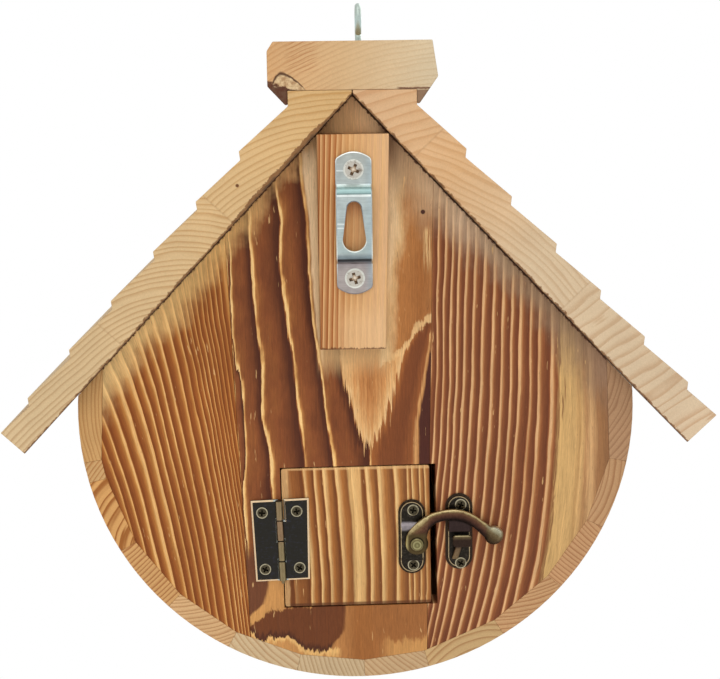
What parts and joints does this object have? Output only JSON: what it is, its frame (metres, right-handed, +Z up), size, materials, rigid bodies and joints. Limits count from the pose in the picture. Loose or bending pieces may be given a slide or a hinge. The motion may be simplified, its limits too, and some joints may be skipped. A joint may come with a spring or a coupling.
{
  "type": "bird nest box",
  "caption": "Round-bellied wooden bird nest box with a stepped roof, entrance hole, hinged clean-out door with a swing latch, hanger plate and screw eye.",
  "frame": {"origin": "middle of the hanger plate's raised face, on the strip above the slot where the nail bears", "axes": "+Z up, +Y from the wall into the box towards the entrance side, +X to the right seen from the hanger side"},
  "size_m": [0.2529, 0.1647, 0.248],
  "materials": {
    "burnt_pine": "torch-burnt pine with pale raised grain lines, thin satin oil",
    "stave_pine": "pale sanded pine, warmed a little by the torch",
    "roof_pine": "pale planed pine with fine brown growth rings",
    "honey_pine": "lightly burnt honey-coloured pine",
    "zinc": "bright zinc plate",
    "nickel": "nickel-plated screw",
    "dark_bronze": "antique bronze, near black with worn edges",
    "brassy_bronze": "antique bronze, worn to a greenish brass"
  },
  "bodies": {
    "root": {"back_panel_left_board": "burnt_pine", "back_panel_middle_board": "burnt_pine", "back_panel_right_board": "burnt_pine", "front_panel_left_board": "burnt_pine", "front_panel_middle_board": "burnt_pine", "front_panel_right_board": "burnt_pine", "stave_01": "stave_pine", "stave_02": "stave_pine", "stave_03": "stave_pine", "stave_04": "stave_pine", "stave_05": "stave_pine", "stave_06": "stave_pine", "stave_07": "stave_pine", "stave_08": "stave_pine", "stave_09": "stave_pine", "stave_10": "stave_pine", "stave_11": "stave_pine", "stave_12": "stave_pine", "stave_13": "stave_pine", "roof_board_left": "roof_pine", "roof_board_right": "roof_pine", "roof_brad_left_1": "zinc", "roof_brad_left_2": "zinc", "roof_brad_left_3": "zinc", "roof_brad_left_4": "zinc", "roof_brad_right_1": "zinc", "roof_brad_right_2": "zinc", "roof_brad_right_3": "zinc", "roof_brad_right_4": "zinc", "ridge_cap": "roof_pine", "screw_eye": "zinc", "hanger_block": "honey_pine", "hanger_plate": "zinc", "hanger_screw_upper": "nickel", "hanger_screw_lower": "nickel", "hinge_leaf_fixed": "dark_bronze", "hinge_pin": "brassy_bronze", "hinge_screw_fixed_upper": "dark_bronze", "hinge_screw_fixed_lower": "dark_bronze", "catch_plate": "dark_bronze", "catch_screw_upper": "dark_bronze", "catch_screw_lower": "dark_bronze"},
    "door_body": {"door": "burnt_pine", "hinge_leaf_door": "dark_bronze", "hinge_screw_door_upper": "dark_bronze", "hinge_screw_door_lower": "dark_bronze", "latch_base_plate": "dark_bronze", "latch_rivet": "brassy_bronze", "latch_screw_upper": "dark_bronze", "latch_screw_lower": "dark_bronze"},
    "latch_body": {"latch_arm": "brassy_bronze"}
  },
  "joints": [
    {"name": "door_hinge", "type": "hinge", "parent": "root", "child": "door_body", "pos_m": [-0.02815, 0.0152, -0.12545], "axis": [0.0332, 0, -0.9995], "range_deg": [0, 165]},
    {"name": "latch_pivot", "type": "hinge", "parent": "door_body", "child": "latch_body", "pos_m": [0.0213, 0.013, -0.12685], "axis": [0, -1, 0], "range_deg": [-10, 120]}
  ]
}
